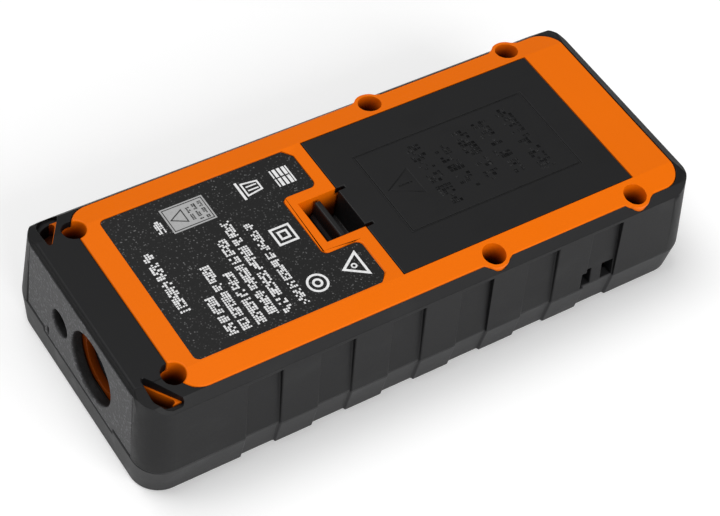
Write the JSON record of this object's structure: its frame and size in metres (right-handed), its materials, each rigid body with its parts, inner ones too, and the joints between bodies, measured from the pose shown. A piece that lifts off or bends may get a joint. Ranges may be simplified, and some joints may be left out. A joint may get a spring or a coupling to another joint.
{
  "type": "laser distance meter",
  "caption": "Handheld laser distance meter lying on its face: black bumper shell, orange back housing, grey nose plate with lens and laser holes, hinged battery cover.",
  "frame": {"origin": "middle of the rim that the meter lies on, face down, under the middle of its box", "axes": "+Z out of the back with the battery cover, +Y towards the base that measurements start from, -Y out of the lens and the laser, +X to the lanyard side"},
  "size_m": [0.051, 0.12, 0.024],
  "materials": {
    "shell_black": "fine moulded texture",
    "bumper_black": "satin soft-touch overmould",
    "housing_orange": "satin moulded",
    "nose_grey": "fine spark-eroded texture",
    "cover_black": "satin moulded",
    "label_film": "speckled printed film",
    "screw_steel": "black-zinc plated",
    "key_rubber": "matt silicone",
    "measure_orange": "matt silicone",
    "spring_steel": "bright spring wire",
    "window_clear": "clear moulded",
    "lcd_glass": "grey-green display glass",
    "backlight_white": "white diffuser",
    "strip_rubber": "layered rubber strip",
    "board_green": "solder mask",
    "chip_black": "moulded epoxy",
    "coil_ferrite": "ferrite",
    "can_metal": "pressed can",
    "optics_black": "matt filled moulding",
    "lens_glass": "coated lens",
    "barrel_brass": "turned",
    "cell_wrap": "shrink sleeve",
    "contact_nickel": "nickel-plated strip"
  },
  "bodies": {
    "casing": {"front_shell": "shell_black", "rear_bumper": "bumper_black", "rear_housing": "housing_orange", "nose_plate": "nose_grey", "rating_label": "label_film", "case_screws": "screw_steel", "keypad_mat": "key_rubber", "key_domes": "spring_steel", "display_window": "window_clear", "lcd_glass": "lcd_glass", "backlight": "backlight_white", "display_contact_strips": "strip_rubber", "main_board": "board_green", "board_screws": "screw_steel", "processor": "chip_black", "ranging_chip": "chip_black", "buzzer": "chip_black", "converter_coils": "coil_ferrite", "timing_crystals": "can_metal", "optics_bracket": "optics_black", "receiver_lens": "lens_glass", "laser_barrel": "barrel_brass", "collimator_lens": "lens_glass", "sensor_board": "board_green", "detector": "chip_black", "sensor_shield": "can_metal", "laser_window": "window_clear", "battery_cell_1": "cell_wrap", "battery_cell_2": "cell_wrap", "battery_cell_3": "cell_wrap", "nose_contacts": "contact_nickel", "base_contacts": "contact_nickel", "contact_springs": "spring_steel"},
    "cover": {"battery_cover": "cover_black"},
    "latch": {"battery_latch": "cover_black"},
    "measure_key": {"measure_key": "measure_orange"},
    "unit_key": {"unit_key": "key_rubber"},
    "reference_key": {"reference_key": "key_rubber"},
    "plus_key": {"plus_key": "key_rubber"},
    "function_key": {"function_key": "key_rubber"},
    "minus_key": {"minus_key": "key_rubber"},
    "memory_key": {"memory_key": "key_rubber"},
    "power_key": {"power_key": "key_rubber"}
  },
  "joints": [
    {"name": "battery_cover_hinge", "type": "hinge", "parent": "casing", "child": "cover", "pos_m": [0, 0.04739, 0.024], "axis": [-1, 0, 0], "range_deg": [0, 70]},
    {"name": "latch_flex", "type": "hinge", "parent": "cover", "child": "latch", "pos_m": [0, -0.00885, 0.0169], "axis": [-1, 0, 0], "range_deg": [0, 9], "stiffness_Nm_per_rad": 0.12},
    {"name": "measure_key_press", "type": "slide", "parent": "casing", "child": "measure_key", "axis": [0, 0, 1], "range_m": [0, 0.0007], "stiffness_N_per_m": 2500},
    {"name": "unit_key_press", "type": "slide", "parent": "casing", "child": "unit_key", "axis": [0, 0, 1], "range_m": [0, 0.0007], "stiffness_N_per_m": 2000},
    {"name": "reference_key_press", "type": "slide", "parent": "casing", "child": "reference_key", "axis": [0, 0, 1], "range_m": [0, 0.0007], "stiffness_N_per_m": 2000},
    {"name": "plus_key_press", "type": "slide", "parent": "casing", "child": "plus_key", "axis": [0, 0, 1], "range_m": [0, 0.0007], "stiffness_N_per_m": 2000},
    {"name": "function_key_press", "type": "slide", "parent": "casing", "child": "function_key", "axis": [0, 0, 1], "range_m": [0, 0.0007], "stiffness_N_per_m": 2000},
    {"name": "minus_key_press", "type": "slide", "parent": "casing", "child": "minus_key", "axis": [0, 0, 1], "range_m": [0, 0.0007], "stiffness_N_per_m": 2000},
    {"name": "memory_key_press", "type": "slide", "parent": "casing", "child": "memory_key", "axis": [0, 0, 1], "range_m": [0, 0.0007], "stiffness_N_per_m": 2000},
    {"name": "power_key_press", "type": "slide", "parent": "casing", "child": "power_key", "axis": [0, 0, 1], "range_m": [0, 0.0007], "stiffness_N_per_m": 2000}
  ]
}
